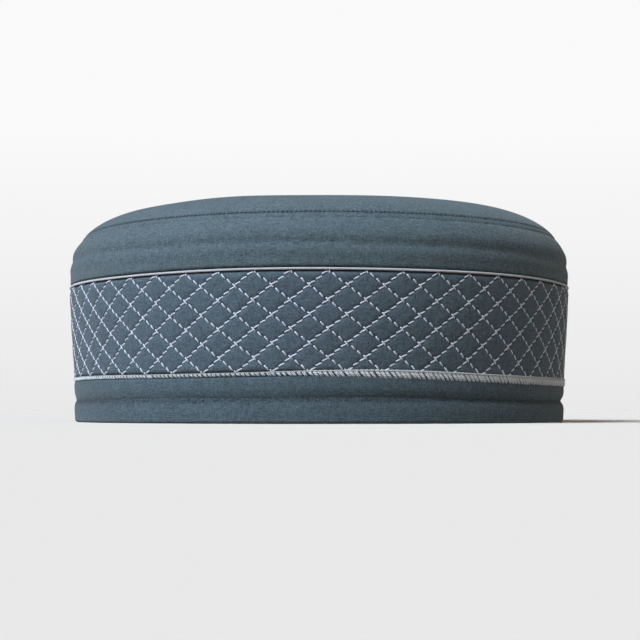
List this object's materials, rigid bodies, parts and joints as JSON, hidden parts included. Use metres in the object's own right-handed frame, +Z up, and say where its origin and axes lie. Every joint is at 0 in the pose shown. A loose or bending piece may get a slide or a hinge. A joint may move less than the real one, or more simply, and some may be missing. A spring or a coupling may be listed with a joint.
{
  "type": "kufi cap",
  "caption": "Round brimless cloth cap with a flat top, plain bands above and below, and a middle band stitched in a diamond lattice between pale edgings.",
  "frame": {"origin": "middle of the rim's underside, on the surface that the cap rests on", "axes": "+Z up along the cap's axis, from the open rim to the flat top; the cap is round, so X and Y are alike"},
  "size_m": [0.1944, 0.1944, 0.0797],
  "materials": {
    "rim_cloth": "matt slate blue cotton twill, folded and ribbed",
    "edging_thread": "pale grey overcast thread with a soft sheen",
    "lattice_cloth": "matt slate cloth under pale lavender running stitches",
    "piping_thread": "off-white twisted cotton cord",
    "crown_cloth": "matt slate blue cotton, softly padded",
    "top_cloth": "matt slate blue cotton, stretched flat"
  },
  "bodies": {
    "root": {"rim_band": "rim_cloth", "lower_edging": "edging_thread", "lattice_band": "lattice_cloth", "upper_piping": "piping_thread", "crown_band": "crown_cloth", "crown_top": "top_cloth"}
  },
  "joints": []
}
